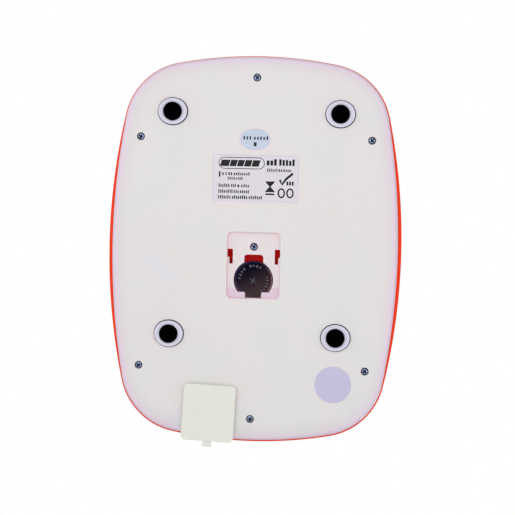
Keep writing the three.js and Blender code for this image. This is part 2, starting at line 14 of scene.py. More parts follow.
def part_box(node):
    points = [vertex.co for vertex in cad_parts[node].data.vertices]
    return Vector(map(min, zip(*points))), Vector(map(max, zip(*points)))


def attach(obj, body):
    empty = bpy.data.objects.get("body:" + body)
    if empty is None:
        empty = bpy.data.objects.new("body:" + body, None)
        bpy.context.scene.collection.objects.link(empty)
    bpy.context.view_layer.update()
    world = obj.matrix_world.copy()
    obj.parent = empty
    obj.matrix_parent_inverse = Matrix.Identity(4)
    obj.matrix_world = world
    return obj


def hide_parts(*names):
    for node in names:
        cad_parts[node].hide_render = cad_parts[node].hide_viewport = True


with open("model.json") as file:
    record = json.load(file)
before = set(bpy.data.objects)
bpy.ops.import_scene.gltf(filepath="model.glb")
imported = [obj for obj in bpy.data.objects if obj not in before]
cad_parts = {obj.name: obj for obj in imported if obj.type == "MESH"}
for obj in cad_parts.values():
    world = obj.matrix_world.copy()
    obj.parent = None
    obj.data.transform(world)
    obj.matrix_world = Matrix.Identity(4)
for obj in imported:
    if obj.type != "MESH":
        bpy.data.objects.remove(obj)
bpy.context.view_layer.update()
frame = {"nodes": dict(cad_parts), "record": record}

MM = 0.001
shell_low, shell_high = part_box("top_shell")
MIDDLE = (shell_low + shell_high) / 2


def scene_point(x, y, z):
    return Vector((MIDDLE.x + x * MM, MIDDLE.y + y * MM, z * MM))


# ---------------------------------------------------------------- dimensions

SHELL_FORM = dict(half_width=76.9, half_length=101.2, side=324, end=217, corner=35)
BASE_FORM = dict(half_width=75.0, half_length=100.5, side=376, end=216.5, corner=34.4)
BASE_SHIFT = 0.25  # to the rear
UNDERSIDE = 4.0
BASE_TOP = 9.4
BASE_EDGE = 11  # how far in the base's edge starts to curve up
PLATFORM = 17.5
RIM_TOP = 12  # the top shell is widest up to here, and its shoulder curves in above
SHOULDER = 8.5  # how far in the shoulder reaches at the platform
CEILING = 15.3
WALL = 2.0

FEET = {
    "front_left": (-43.6, -44.6),
    "front_right": (43.6, -44.6),
    "rear_left": (-43.6, 71.4),
    "rear_right": (43.6, 71.4),
}
CUP = (7.5, 6.8)
CUP_GAP = 0.45

SCREWS = {
    "rear": (0, 89.6),
    "front": (0, -88.5),
    "rear_left": (-60.2, 58.1),
    "rear_right": (60.2, 58.1),
    "front_left": (-59.3, -61.7),
    "front_right": (59.3, -61.7),
}
POCKET_SCREW = (0, 1.7)
BOARD_SCREWS = {"left": (-28.2, -82), "right": (28.2, -82)}
SCREW_HEAD = 1.85
SCREW_SINK = 2.1  # radius of the sunk hole around a head
SINK_DEPTH = 1.7
SCREW_TIP = 14.0
BOSS, BOSS_HOLE = 3, 1.5
BOARD_BOSS, BOARD_BOSS_HOLE = 2.2, 1.1

POCKET_HALF, POCKET_REAR, POCKET_FRONT, POCKET_FLOOR = 13.9, 9.4, -25.3, 6.6
POCKET_CORNER = 2.6
STRIP_REAR, STRIP_FLOOR = -19.8, 7.0
TRAY_TOP = 8.6
CELL_Y = -15.7
WELL_RADIUS = 10.35
LIP_EDGE, LIP_TOP = -22.1, 7.9
NOTCH_HALF = 4.25

DISPLAY_Y = -73
BUTTON_X = 36.5

# ---------------------------------------------------------------- mesh tools


def outline_of(corners, steps):
    """A flat outline through (x, y, radius) corners, anticlockwise, as a function of its offset."""
    def at(offset=0.0):
        points = []
        for k, (px, py, radius) in enumerate(corners):
            here = Vector((px, py))
            before = (here - Vector(corners[k - 1][:2])).normalized()
            after = (Vector(corners[(k + 1) % len(corners)][:2]) - here).normalized()
            side = 1 if before.x * after.y - before.y * after.x > 0 else -1
            out_before, out_after = Vector((before.y, -before.x)), Vector((after.y, -after.x))
            corner = here + (out_before + out_after) * offset / (1 + out_before.dot(out_after))
            r = max(radius + side * offset, 0.02)
            sweep = math.acos(max(-1.0, min(1.0, before.dot(after))))
            start = corner - before * r * math.tan(sweep / 2)
            centre = start - out_before * side * r
            first = math.atan2(start.y - centre.y, start.x - centre.x)
            for i in range(steps + 1):
                a = first + side * sweep * i / steps
                points.append((centre.x + r * math.cos(a), centre.y + r * math.sin(a)))
        return points
    return at


def rectangle(x0, y0, x1, y1, radius, steps=6):
    return outline_of([(x0, y0, radius), (x1, y0, radius), (x1, y1, radius), (x0, y1, radius)], steps)


def oval(x, y, rx, ry=None, sides=64):
    ry = rx if ry is None else ry

    def at(offset=0.0):
        turns = [2 * math.pi * i / sides for i in range(sides)]
        return [(x + (rx + offset) * math.cos(t), y + (ry + offset) * math.sin(t)) for t in turns]
    return at


def casing(form, steps=(14, 22, 10)):
    """The casing's outline: long sides, corners and ends are tangent arcs."""
    side = Vector((form["half_width"] - form["side"], 0))
    end = Vector((0, form["half_length"] - form["end"]))
    reach_side, reach_end = form["side"] - form["corner"], form["end"] - form["corner"]
    between = end - side
    gap = between.length
    along = (gap ** 2 + reach_side ** 2 - reach_end ** 2) / (2 * gap)
    aside = math.sqrt(reach_side ** 2 - along ** 2)
    direction = between / gap
    corner = side + direction * along + Vector((direction.y, -direction.x)) * aside
    if corner.x < 0:
        corner = side + direction * along + Vector((-direction.y, direction.x)) * aside
    turn_side = math.atan2(corner.y - side.y, corner.x - side.x)
    turn_end = math.atan2(corner.y - end.y, corner.x - end.x)
    arcs = [
        (side, form["side"], 0, turn_side, steps[0]),
        (corner, form["corner"], turn_side, turn_end, steps[1]),
        (end, form["end"], turn_end, math.pi / 2, steps[2]),
    ]

    def at(offset=0.0):
        rear_right = []
        for centre, radius, first, last, count in arcs:
            for i in range(count):
                a = first + (last - first) * i / count
                r = radius + offset
                rear_right.append((centre.x + r * math.cos(a), centre.y + r * math.sin(a)))
        end_y = form["half_length"] + offset
        rear_left = [(-x, y) for x, y in reversed(rear_right)]
        front_left = [(-x, -y) for x, y in rear_right[1:]]
        front_right = [(x, -y) for x, y in reversed(rear_right[1:])]
        return rear_right + [(0, end_y)] + rear_left + front_left + [(0, -end_y)] + front_right
    return at


def mesh_object(name, points, faces):
    mesh = bpy.data.meshes.new(name)
    mesh.from_pydata(points, [], faces)
    obj = bpy.data.objects.new(name, mesh)
    bpy.context.scene.collection.objects.link(obj)
    return obj


def body_through(name, rings):
    """A closed mesh through rings of points, from its lower cap to its upper cap."""
    count = len(rings[0])
    points = [scene_point(*p) for ring in rings for p in ring]
    faces = [tuple(reversed(range(count)))]
    for k in range(len(rings) - 1):
        for i in range(count):
            a, b = k * count + i, k * count + (i + 1) % count
            faces.append((a, b, b + count, a + count))
    faces.append(tuple(range((len(rings) - 1) * count, len(rings) * count)))
    return mesh_object(name, points, faces)


def hoop(name, at, width, low, high, inset=0.0):
    """A closed ring of rectangular section along an outline."""
    outer, inner = at(inset + width / 2), at(inset - width / 2)
    count = len(outer)
    corners = [(inner, high), (inner, low), (outer, low), (outer, high)]
    points = [scene_point(x, y, z) for flat, z in corners for x, y in flat]
    faces = []
    for k in range(4):
        here, ahead = k * count, (k + 1) % 4 * count
        for i in range(count):
            j = (i + 1) % count
            faces.append((here + i, here + j, ahead + j, ahead + i))
    return mesh_object(name, points, faces)


def tower(name, at, levels):
    """A closed mesh whose outline is offset by a given amount at each (height, offset)."""
    return body_through(name, [[(x, y, z) for x, y in at(offset)] for z, offset in levels])


def stacked_ovals(name, x, y, profile, sides=64):
    """A body from (height, x radius, y radius) triples, from its lower cap to its upper cap."""
    return body_through(name, [[(px, py, z) for px, py in oval(x, y, a, b, sides)()] for z, a, b in profile])


def turned(name, x, y, profile, sides=64):
    """A turned body from (radius, height) pairs, from its lower cap to its upper cap."""
    return stacked_ovals(name, x, y, [(z, r, r) for r, z in profile], sides)


def quarter(steps):
    """The angles of a quarter turn."""
    return [math.pi / 2 * i / steps for i in range(steps + 1)]


def rounded_levels(low, high, low_radius, high_radius, steps=4):
    """(height, offset) levels of an upright slab with rounded lower and upper edges."""
    levels = [(low + low_radius * (1 - math.sin(t)), -low_radius * (1 - math.cos(t)))
              for t in reversed(quarter(steps))] if low_radius else [(low, 0)]
    levels += [(high - high_radius * (1 - math.sin(t)), -high_radius * (1 - math.cos(t)))
               for t in quarter(steps)] if high_radius else [(high, 0)]
    return levels


def bore(name, at, surface, top, flare, toe=0.0):
    """A tool that cuts upwards from a face, with a rounded mouth and a rounded far edge."""
    levels = [(surface - 1, flare)]
    levels += [(surface + flare * (1 - math.sin(t)), flare * (1 - math.cos(t))) for t in reversed(quarter(4))]
    if toe:
        levels += [(top - toe * (1 - math.sin(t)), -toe * (1 - math.cos(t))) for t in quarter(4)]
    else:
        levels += [(top, 0)]
    return tower(name, at, levels)


def combine(body, operation, tools):
    """Joins a body with tools or cuts it by them, and removes the tools."""
    for tool in tools:
        modifier = body.modifiers.new(tool.name, "BOOLEAN")
        modifier.operation = operation
        modifier.solver = "MANIFOLD"
        modifier.object = tool
    evaluated = body.evaluated_get(bpy.context.evaluated_depsgraph_get())
    mesh = bpy.data.meshes.new_from_object(evaluated)
    body.modifiers.clear()
    body.data = mesh
    for tool in tools:
        bpy.data.objects.remove(tool)
    return body


def joined(name, objects):
    """One mesh object from several."""
    vertices, faces = [], []
    for obj in objects:
        start = len(vertices)
        vertices += [v.co.copy() for v in obj.data.vertices]
        faces += [tuple(start + i for i in p.vertices) for p in obj.data.polygons]
        bpy.data.objects.remove(obj)
    return mesh_object(name, vertices, faces)


def put_down(obj, x, y, z, turn):
    """Turns a mesh about the casing's middle by an angle in degrees, and then moves it by x, y and z."""
    to_middle = Matrix.Translation(-scene_point(0, 0, 0))
    spin = Matrix.Rotation(math.radians(turn), 4, "Z")
    obj.data.transform(Matrix.Translation(scene_point(x, y, z)) @ spin @ to_middle)


def settle(obj, body, material, replaces=(), sharp=35):
    """Shades a finished piece, gives it its material, ties it to its body and hides the CAD nodes it
    replaces.
    """
    mesh = obj.data
    mesh.materials.clear()
    mesh.materials.append(material)
    for face in mesh.polygons:
        face.use_smooth = True
    mesh.set_sharp_from_angle(angle=math.radians(sharp))
    weighted = obj.modifiers.new("even_shading", "WEIGHTED_NORMAL")
    weighted.keep_sharp = True
    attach(obj, body)
    if replaces:
        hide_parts(*replaces)
    return obj


# ---------------------------------------------------------------- materials


def linear(*srgb):
    """A linear colour from 8-bit sRGB values."""
    def one(v):
        v /= 255
        return v / 12.92 if v <= 0.04045 else ((v + 0.055) / 1.055) ** 2.4
    return tuple(one(v) for v in srgb) + (1.0,)


class Nodes:
    """A material in the making: its methods add nodes and return their output sockets."""

    def __init__(self, name):
        self.material = bpy.data.materials.new(name)
        self.material.use_nodes = True
        self.tree = self.material.node_tree
        self.shader = self.tree.nodes["Principled BSDF"]
        self.place = self.add("ShaderNodeTexCoord").outputs["Object"]

    def add(self, kind, **settings):
        node = self.tree.nodes.new(kind)
        for key, value in settings.items():
            setattr(node, key, value)
        return node

    def link(self, source, target):
        self.tree.links.new(source, target)

    def noise(self, size_mm, detail=2.0, roughness=0.5, stretch=None):
        place = self.place
        if stretch:
            mapping = self.add("ShaderNodeMapping")
            mapping.inputs["Scale"].default_value = stretch
            self.link(place, mapping.inputs["Vector"])
            place = mapping.outputs["Vector"]
        node = self.add("ShaderNodeTexNoise")
        node.inputs["Scale"].default_value = 1000 / size_mm
        node.inputs["Detail"].default_value = detail
        node.inputs["Roughness"].default_value = roughness
        self.link(place, node.inputs["Vector"])
        return node.outputs["Fac"]

    def ramp(self, source, stops):
        node = self.add("ShaderNodeValToRGB")
        ramp = node.color_ramp
        while len(ramp.elements) < len(stops):
            ramp.elements.new(0.5)
        for element, (place, color) in zip(ramp.elements, stops):
            element.position = place
            element.color = color
        self.link(source, node.inputs["Fac"])
        return node.outputs["Color"]

    def span(self, source, low, high, start=0.3, end=0.7):
        node = self.add("ShaderNodeMapRange")
        for socket, value in (("From Min", start), ("From Max", end), ("To Min", low), ("To Max", high)):
            node.inputs[socket].default_value = value
        self.link(source, node.inputs["Value"])
        return node.outputs["Result"]

    def mix(self, amount, first, second):
        node = self.add("ShaderNodeMix", data_type="RGBA")
        for socket, value in ((node.inputs[0], amount), (node.inputs[6], first), (node.inputs[7], second)):
            if isinstance(value, bpy.types.NodeSocket):
                self.link(value, socket)
            else:
                socket.default_value = value
        return node.outputs[2]

    def bump(self, height, depth_mm, below=None):
        node = self.add("ShaderNodeBump")
        node.inputs["Strength"].default_value = 1
        node.inputs["Distance"].default_value = depth_mm * MM
        self.link(height, node.inputs["Height"])
        if below:
            self.link(below, node.inputs["Normal"])
        return node.outputs["Normal"]

    def downward(self):
        """1 where the surface faces straight down, 0 where it is upright or faces up."""
        geometry = self.add("ShaderNodeNewGeometry")
        split = self.add("ShaderNodeSeparateXYZ")
        self.link(geometry.outputs["Normal"], split.inputs[0])
        node = self.add("ShaderNodeMath", operation="MULTIPLY")
        node.inputs[1].default_value = -1
        self.link(split.outputs["Z"], node.inputs[0])
        return node.outputs[0]

    def above(self, low, high):
        """0 below one height and 1 above another, in mm from the ground."""
        split = self.add("ShaderNodeSeparateXYZ")
        self.link(self.place, split.inputs[0])
        return self.span(split.outputs["Z"], 0, 1, low * MM, high * MM)

    def near(self, centre, inner, outer):
        """1 within one distance of a point and 0 beyond another, in mm."""
        node = self.add("ShaderNodeVectorMath", operation="DISTANCE")
        self.link(self.place, node.inputs[0])
        node.inputs[1].default_value = centre
        return self.span(node.outputs["Value"], 1, 0, inner * MM, outer * MM)

    def product(self, first, second):
        node = self.add("ShaderNodeMath", operation="MULTIPLY")
        self.link(first, node.inputs[0])
        self.link(second, node.inputs[1])
        return node.outputs[0]

    def done(self, color=None, roughness=None, normal=None, **fixed):
        sockets = self.shader.inputs
        for name, value in (("Base Color", color), ("Roughness", roughness), ("Normal", normal)):
            if isinstance(value, bpy.types.NodeSocket):
                self.link(value, sockets[name])
            elif value is not None:
                sockets[name].default_value = value
        for name, value in fixed.items():
            sockets[name.replace("_", " ").title().replace("Ior", "IOR")].default_value = value
        return self.material


def gray(value):
    return (value, value, value, 1.0)


def shade(color, factor):
    return tuple(min(1.0, c * factor) for c in color[:3]) + (1.0,)


def plastic(name, color, roughness, grain, drift, **fixed):
    """Moulded plastic: slow colour drift, fine moulded grain and uneven gloss."""
    n = Nodes(name)
    slow = n.noise(22, 3)
    tone = n.ramp(slow, [(0.3, shade(color, 1 - drift)), (0.7, shade(color, 1 + drift))])
    gloss = n.span(n.noise(6, 3), roughness - 0.05, roughness + 0.05)
    return n.done(tone, gloss, n.bump(n.noise(0.35, 2), grain), **fixed)


def metal(name, color, roughness, drift, grain=0.003, lines=None):
    """Bare metal, streaked in tone and gloss; lines stretches the streaks across an axis."""
    n = Nodes(name)
    streak = n.noise(2.5, 4, 0.6, lines)
    tone = n.ramp(streak, [(0.3, shade(color, 1 - drift)), (0.7, shade(color, 1 + drift))])
    gloss = n.span(n.noise(1.2, 4, 0.6, lines), roughness - 0.08, roughness + 0.1)
    return n.done(tone, gloss, n.bump(streak, grain), metallic=1.0)


def base_material():
    """Off-white satin plastic with painted shade: faintly lilac where its edge curves up, pink inside the
    pocket (strongest on the pocket's walls), and lilac on the floors set deeper than the pocket's floor.
    """
    n = Nodes("base_plastic")
    patches = n.ramp(n.noise(34, 3, 0.55), [
        (0.30, linear(230, 231, 233)),
        (0.45, linear(234, 232, 231)),
        (0.58, linear(237, 230, 230)),
        (0.72, linear(232, 230, 234)),
    ])
    # painted shade: the base turns faintly lilac where its edge curves up from facing straight down
    painted_edge_shade = n.ramp(n.downward(), [(0.0, gray(0.2)), (0.3, gray(0.35)), (0.62, gray(0.95)), (0.992, gray(0))])
    tone = n.mix(painted_edge_shade, patches, linear(251, 219, 252))
    # painted shade: inside the pocket the upright walls turn pink, and the downward faces take a paler pink
    by_pocket = n.near(scene_point(0, -8, UNDERSIDE), 24, 28)
    pocket = n.product(n.above(UNDERSIDE + 0.2, UNDERSIDE + 0.4), by_pocket)
    tone = n.mix(n.product(pocket, n.span(n.downward(), 0.5, 0.8)), tone, linear(241, 230, 233))
    tone = n.mix(n.product(pocket, n.span(n.downward(), 0.6, 0)), tone, linear(247, 176, 184))
    # painted shade: the strip and everything set deeper than the pocket's floor turn lilac
    tone = n.mix(n.above(POCKET_FLOOR + 0.2, POCKET_FLOOR + 0.35), tone, linear(233, 216, 232))
    gloss = n.span(n.noise(7, 3), 0.40, 0.50)
    fine = n.bump(n.noise(0.3, 2, 0.6), 0.005)
    return n.done(tone, gloss, n.bump(n.noise(14, 2), 0.02, fine))


def label_material(name, color, edge):
    """Printed film, with painted shade in the edge colour where its edge turns up."""
    n = Nodes(name)
    tone = n.ramp(n.noise(9, 3), [(0.3, shade(color, 0.98)), (0.7, shade(color, 1.02))])
    # painted shade: the edge colour is mixed in where the face turns up at the edge
    painted_edge_shade = n.span(n.downward(), 1, 0, 0.2, 0.9)
    tone = n.mix(painted_edge_shade, tone, edge)
    gloss = n.span(n.noise(3, 3), 0.42, 0.55)
    return n.done(tone, gloss, n.bump(n.noise(1.1, 3), 0.004))


def orange_material():
    """Saturated orange plastic; the hidden ceiling inside, lit only by bounces, is painted a deeper red as
    shade.
    """
    n = Nodes("orange_plastic")
    slow = n.noise(22, 3)
    tone = n.ramp(slow, [(0.3, (0.95, 0.042, 0.0015, 1)), (0.7, (0.98, 0.045, 0.0015, 1))])
    # painted shade: downward faces above 12.4 mm, the ceiling inside the shell, turn a deeper red
    inside = n.product(n.above(12.4, 12.8), n.span(n.downward(), 0, 1, 0.5, 0.9))
    tone = n.mix(inside, tone, (0.97, 0.006, 0.002, 1))
    return n.done(tone, 0.3, n.bump(n.noise(2.6, 1), 0.003), specular_ior_level=0.16)


def foot_material():
    """Cool white plastic, with painted shade: dark where it goes up into the casing."""
    n = Nodes("foot_plastic")
    color = linear(230, 228, 246)
    tone = n.ramp(n.noise(22, 3), [(0.3, shade(color, 0.98)), (0.7, color)])
    # painted shade: the cup turns dark above 2.7 mm, in the gap round it
    tone = n.mix(n.above(2.7, 3.3), tone, linear(40, 34, 48))
    gloss = n.span(n.noise(6, 3), 0.4, 0.48)
    return n.done(tone, gloss, n.bump(n.noise(0.35, 2), 0.004))


def screw_material():
    """Zinc plate, bright on the face, with painted shade: dark down in the recess."""
    n = Nodes("screw_steel")
    streak = n.noise(1.4, 4, 0.6)
    tone = n.ramp(streak, [(0.35, linear(82, 96, 132)), (0.65, linear(182, 195, 226))])
    split = n.add("ShaderNodeSeparateXYZ")
    n.link(n.add("ShaderNodeTexCoord").outputs["Generated"], split.inputs[0])
    # painted shade: the screw turns dark above its face, by height within the screw
    tone = n.mix(n.span(split.outputs["Z"], 0, 1, 0.012, 0.035), tone, linear(24, 24, 40))
    gloss = n.span(n.noise(1.2, 4, 0.6), 0.26, 0.42)
    return n.done(tone, gloss, n.bump(streak, 0.003), metallic=1.0)


def cell_material():
    """A stamped stainless can, dark, warmer on one side through tarnish and painted reflection, with a faint
    bloom.
    """
    n = Nodes("cell_steel")
    bloom = n.noise(13, 2, 0.45)
    lean = (0.55, 0.83, 0)
    across = n.add("ShaderNodeVectorMath", operation="DOT_PRODUCT")
    n.link(n.place, across.inputs[0])
    across.inputs[1].default_value = lean
    centre = scene_point(0, CELL_Y, 0)
    middle = lean[0] * centre.x + lean[1] * centre.y
    # part tarnish, part painted reflection: the can goes from warm to dark blue across one direction
    sweep = n.span(across.outputs["Value"], 0, 1, middle - 5 * MM, middle + 5 * MM)
    tone = n.mix(sweep, linear(146, 114, 118), linear(38, 38, 74))
    tone = n.mix(n.span(bloom, 0, 0.22), tone, linear(104, 88, 104))
    fine = n.noise(0.5, 4, 0.7)
    gloss = n.span(fine, 0.1, 0.2)
    return n.done(tone, gloss, n.bump(fine, 0.001), metallic=1.0)


def glass_material(name, color, roughness, alpha):
    """Smooth clear or backed glass with the slightest unevenness."""
    n = Nodes(name)
    tone = n.ramp(n.noise(18, 2), [(0.3, shade(color, 0.95)), (0.7, shade(color, 1.05))])
    gloss = n.span(n.noise(3, 3), roughness, roughness + 0.03)
    return n.done(tone, gloss, n.bump(n.noise(4, 2), 0.001), alpha=alpha)


MATERIALS = {
    "orange_plastic": orange_material(),
    "base_plastic": base_material(),
    "cover_plastic": plastic("cover_plastic", linear(236, 238, 229), 0.44, 0.005, 0.012),
    "foot_plastic": foot_material(),
    "rubber": plastic("rubber", (0.0004, 0.0003, 0.0009, 1), 0.9, 0.02, 0.2, specular_ior_level=0.01),
    "screw_steel": screw_material(),
    "cell_steel": cell_material(),
    "contact_steel": metal("contact_steel", linear(205, 203, 196), 0.28, 0.08, 0.002, (1, 6, 1)),
    "load_cell_steel": metal("load_cell_steel", linear(190, 194, 198), 0.34, 0.08, 0.002, (6, 1, 1)),
    "window": glass_material("window", linear(30, 33, 38), 0.04, 0.35),
    "display_glass": glass_material("display_glass", linear(150, 164, 148), 0.12, 1.0),
    "dark_plastic": plastic("dark_plastic", linear(32, 33, 36), 0.5, 0.006, 0.1),
    "elastomer": plastic("elastomer", linear(222, 152, 166), 0.8, 0.006, 0.08),
    "circuit_board": plastic("circuit_board", linear(30, 104, 58), 0.38, 0.006, 0.12),
    "chip": plastic("chip", linear(14, 14, 16), 0.35, 0.01, 0.2),
    "button_plastic": plastic("button_plastic", linear(244, 243, 240), 0.32, 0.003, 0.015),
    # the last colour of each paper is its painted edge shade
    "oval_paper": label_material("oval_paper", linear(202, 214, 233), linear(206, 188, 220)),
    "label_paper": label_material("label_paper", linear(229, 224, 231), linear(214, 186, 214)),
    "round_paper": label_material("round_paper", linear(204, 199, 228), linear(220, 190, 216)),
    "white_lead": plastic("white_lead", linear(228, 226, 220), 0.5, 0.004, 0.03),
    "red_lead": plastic("red_lead", linear(184, 34, 28), 0.5, 0.004, 0.05),
    "black_lead": plastic("black_lead", linear(22, 22, 25), 0.5, 0.004, 0.1),
}
PRINT = plastic("print_ink", linear(8, 7, 10), 0.7, 0.002, 0.2)
GREY_PRINT = plastic("grey_ink", linear(24, 21, 28), 0.7, 0.002, 0.1)
FAINT_PRINT = plastic("faint_ink", linear(70, 64, 76), 0.7, 0.002, 0.1)
# painted shade: a lilac line just inside each sticker's edge
PAINTED_STICKER_EDGE_SHADE = plastic("sticker_edge_shade", linear(232, 204, 232), 0.6, 0.002, 0.02)
DIGIT = plastic("display_segment", linear(52, 58, 54), 0.3, 0.001, 0.05)
CELL_MARKS = metal("cell_marks", linear(96, 92, 100), 0.55, 0.15)

for piece in frame["record"]["subparts"]:
    node = frame["nodes"][piece["node"]]
    node.data.materials.clear()
    node.data.materials.append(MATERIALS[piece["material_slot"]])

# ---------------------------------------------------------------- casing


def curved_edge(rise, inwards, steps):
    """(height, offset) levels of the base's edge, raised and moved in by the given amounts."""
    return [(UNDERSIDE + rise + (BASE_TOP - UNDERSIDE) * (1 - math.cos(t)),
             -inwards - BASE_EDGE * (1 - math.sin(t))) for t in quarter(steps)]


def base_outside():
    rounding = 0.15
    levels = curved_edge(0, 0, 16)[:-1] + [(BASE_TOP - rounding, 0), (BASE_TOP, -rounding)]
    outline = casing(BASE_FORM)

    def shifted(offset):
        return [(x, y + BASE_SHIFT) for x, y in outline(offset)]
    return tower("base_cover_visual", shifted, levels)


def base_inside():
    levels = curved_edge(WALL, WALL, 8)
    return tower("hollow", casing(BASE_FORM), levels + [(levels[-1][0] + 2, -WALL)])


def pocket_outline(steps=6):
    return rectangle(-POCKET_HALF, POCKET_FRONT, POCKET_HALF, POCKET_REAR, POCKET_CORNER, steps)


def upstand():
    """The rib inside the rim that the top shell fits over."""
    outside, inside = -2.35, -3.95
    rib = tower("upstand", casing(SHELL_FORM), [(8.6, outside), (10.8, outside), (11, outside - 0.15)])
    return combine(rib, "DIFFERENCE", [tower("core", casing(SHELL_FORM), [(8, inside), (12, inside)])])


def load_cell_rails():
    """Two rails beside each foot, each with a staked pin that holds the load cell."""
    reach, wide, long, top = 13.9, 2, 7.4, 8
    rails = []
    for x, y in FEET.values():
        for side in (-reach, reach):
            outline = rectangle(x + side - wide, y - long, x + side + wide, y + long, 0.4)
            rails.append(tower("rail", outline, [(UNDERSIDE + 1, 0), (top, 0)]))
            rails.append(turned("stake", x + side, y + math.copysign(5.3, side),
                                [(1.1, 7.1), (1.1, 9.45), (1.9, 9.45), (1.7, 10.3)], 20))
    return rails


def base_additions():
    tray = tower("tray", pocket_outline(), [(UNDERSIDE, WALL), (TRAY_TOP, WALL)])
    well_wall = WELL_RADIUS + 2.15
    well = turned("well", 0, CELL_Y, [(well_wall, POCKET_FLOOR), (well_wall, 14)])
    pads = [turned("pad", x, y, [(4, UNDERSIDE + 1), (4, 7.6)], 32) for x, y in SCREWS.values()]
    pads.append(turned("pad", *POCKET_SCREW, [(3.5, TRAY_TOP - 1), (3.5, 10)], 32))
    return [upstand(), tray, well, *pads, *load_cell_rails()]


def hook_slot(side):
    """The slot a side hook of the cover drops through, narrower under its ledge."""
    corners = [(11, -7.35), (12.8, -7.35), (12.8, -3.85), (13.8, -3.85), (13.8, 0.4), (11, 0.4)]
    if side < 0:
        corners = [(-x, y) for x, y in reversed(corners)]
    outline = outline_of([(x, y, 0.25) for x, y in corners], 3)
    return bore("hook_slot", outline, POCKET_FLOOR, TRAY_TOP + 0.5, 0.12)


def throat():
    """The mouth of the cell's well: a circle cut off by two lips with a notch between them."""
    reach = math.sqrt(WELL_RADIUS ** 2 - (LIP_EDGE - CELL_Y) ** 2)
    first = math.atan2(LIP_EDGE - CELL_Y, reach)
    steps = 48
    arc = []
    for i in range(steps + 1):
        a = first + (math.pi - 2 * first) * i / steps
        radius = 0.5 if i in (0, steps) else 0.02
        arc.append((WELL_RADIUS * math.cos(a), CELL_Y + WELL_RADIUS * math.sin(a), radius))
    front = POCKET_FRONT + 0.2
    notch = [(-NOTCH_HALF, LIP_EDGE, 0.7), (-NOTCH_HALF, front, 0.3),
             (NOTCH_HALF, front, 0.3), (NOTCH_HALF, LIP_EDGE, 0.7)]
    return bore("throat", outline_of(arc + notch, 3), POCKET_FLOOR, LIP_TOP + 0.1, 0.15)


def base_cover():
    base = combine(base_outside(), "DIFFERENCE", [base_inside()])
    combine(base, "UNION", base_additions())
    margin = 0.3
    strip = rectangle(-POCKET_HALF + margin, POCKET_FRONT + margin, POCKET_HALF - margin, STRIP_REAR, 0.4)
    cuts = [
        bore("pocket", pocket_outline(8), UNDERSIDE, POCKET_FLOOR, 0.15, 0.12),
        bore("strip", strip, POCKET_FLOOR, STRIP_FLOOR, 0.1),
        throat(),
        turned("chamber", 0, CELL_Y, [(WELL_RADIUS, LIP_TOP), (WELL_RADIUS, 13)]),
        bore("finger", rectangle(-5, -8, 5, -2.45, 1.6), POCKET_FLOOR, 15, 0.2),
        hook_slot(1),
        hook_slot(-1),
    ]
    for x, y, face in [(*spot, UNDERSIDE) for spot in SCREWS.values()] + [(*POCKET_SCREW, POCKET_FLOOR)]:
        cuts.append(bore("sink", oval(x, y, SCREW_SINK, sides=40), face, face + SINK_DEPTH, 0.06))
    for x, y in FEET.values():
        hole = oval(x, y, CUP[0] + CUP_GAP, CUP[1] + CUP_GAP)
        cuts.append(bore("foot_hole", hole, UNDERSIDE, UNDERSIDE + WALL + 1, 0.04))
    tongue_slot = rectangle(-2.9, POCKET_FRONT - 3.5, 2.9, POCKET_FRONT + 0.5, 0.2)
    cuts.append(tower("tongue_slot", tongue_slot, [(5.1, 0), (6.5, 0)]))
    for tool in cuts:
        combine(base, "DIFFERENCE", [tool])
    holes = [turned("hole", x, y, [(BOSS_HOLE, UNDERSIDE + 1), (BOSS_HOLE, 9)], 20)
             for x, y in SCREWS.values()]
    holes.append(turned("hole", *POCKET_SCREW, [(BOSS_HOLE, POCKET_FLOOR + 1), (BOSS_HOLE, 11)], 20))
    combine(base, "DIFFERENCE", [joined("holes", holes)])
    return settle(base, "casing", MATERIALS["base_plastic"], ["base_cover", "battery_tray"])


def display_outline(half_width, half_height, radius, steps=6):
    """A rounded rectangle about the middle of the display."""
    return rectangle(-half_width, DISPLAY_Y - half_height, half_width, DISPLAY_Y + half_height, radius, steps)


